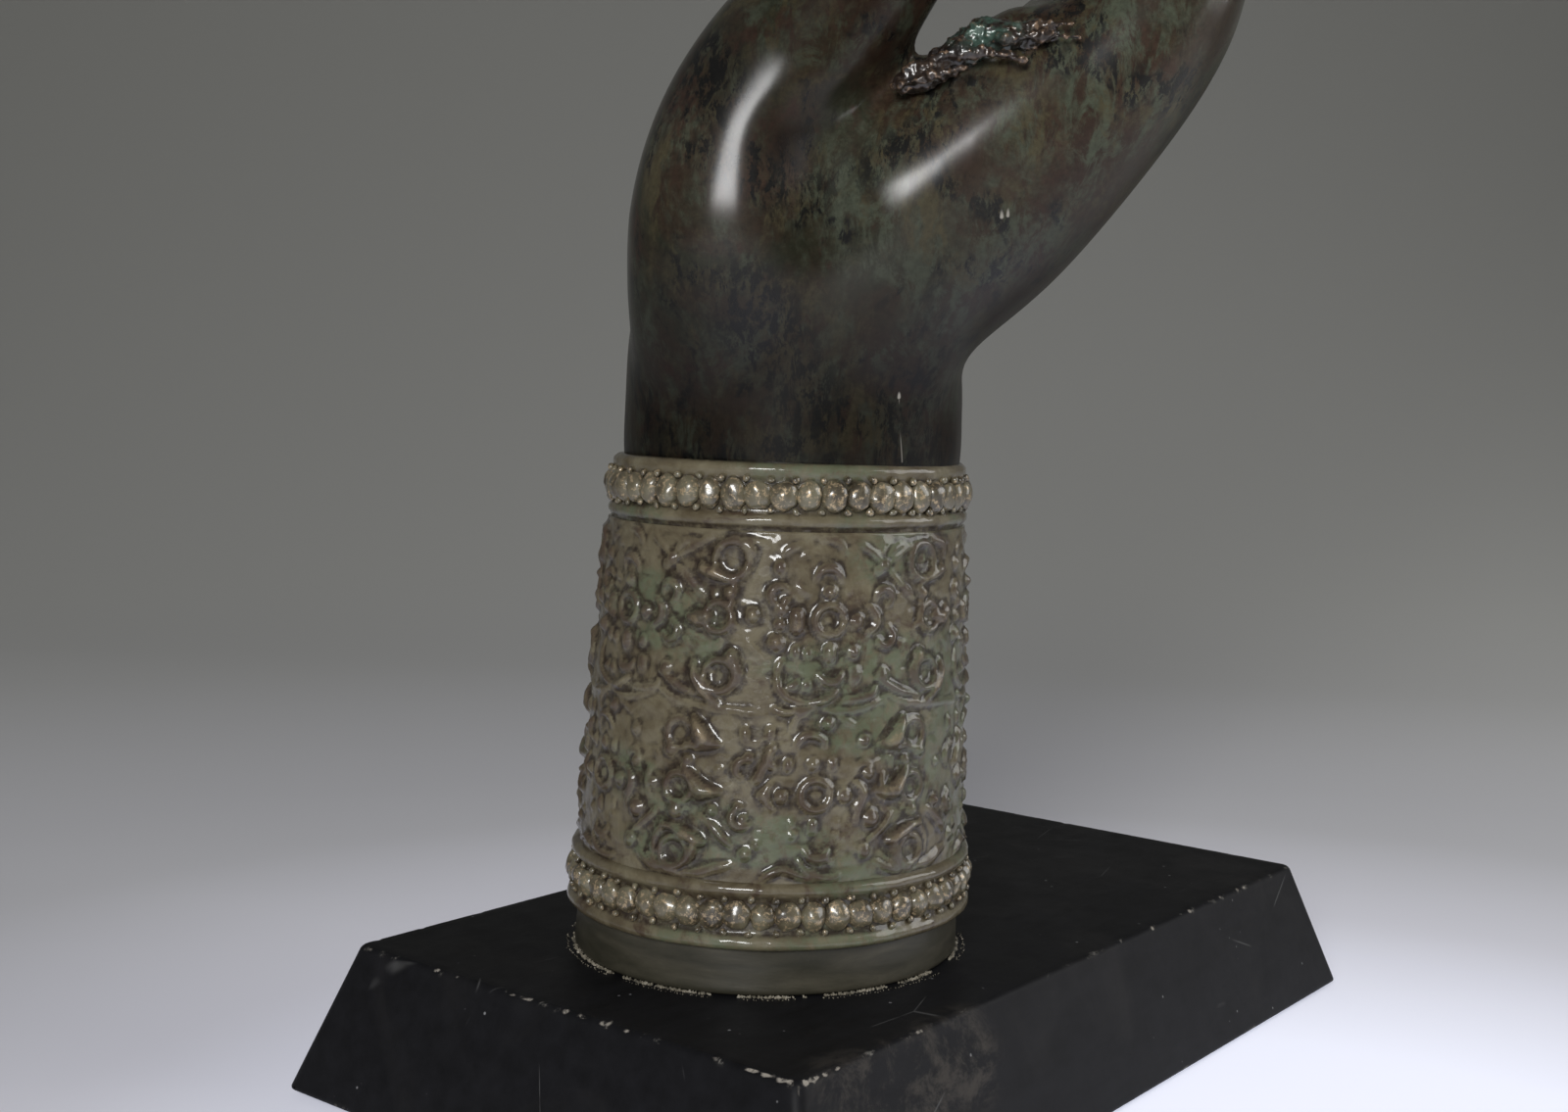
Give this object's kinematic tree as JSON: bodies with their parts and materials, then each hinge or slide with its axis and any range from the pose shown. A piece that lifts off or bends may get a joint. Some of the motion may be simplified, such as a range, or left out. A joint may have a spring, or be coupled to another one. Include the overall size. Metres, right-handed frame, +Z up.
{
  "type": "hand figurine on a plinth",
  "caption": "Upright cast bronze hand, thumb and forefinger joined in a ring, rising from a flared cuff with raised ornament, on a black wooden plinth.",
  "frame": {"origin": "centre of the felt under the plinth, on the surface that the figurine stands on", "axes": "+Z up, X along the plinth's long side, Y along its short side; the hand stands towards -X and the back of the hand faces +X and -Y"},
  "size_m": [0.1918, 0.1335, 0.2866],
  "materials": {
    "bronze": "dark brown and green patina on cast bronze, satin, the cuff paler olive and varnished with gold-rubbed beads",
    "painted_wood": "black satin paint, worn and chipped along its edges",
    "steel": "zinc plated",
    "felt": "thin black felt"
  },
  "bodies": {
    "root": {"hand_casting": "bronze", "plinth": "painted_wood", "fixing_screw": "steel", "screw_washer": "steel", "felt_sheet": "felt"}
  },
  "joints": []
}
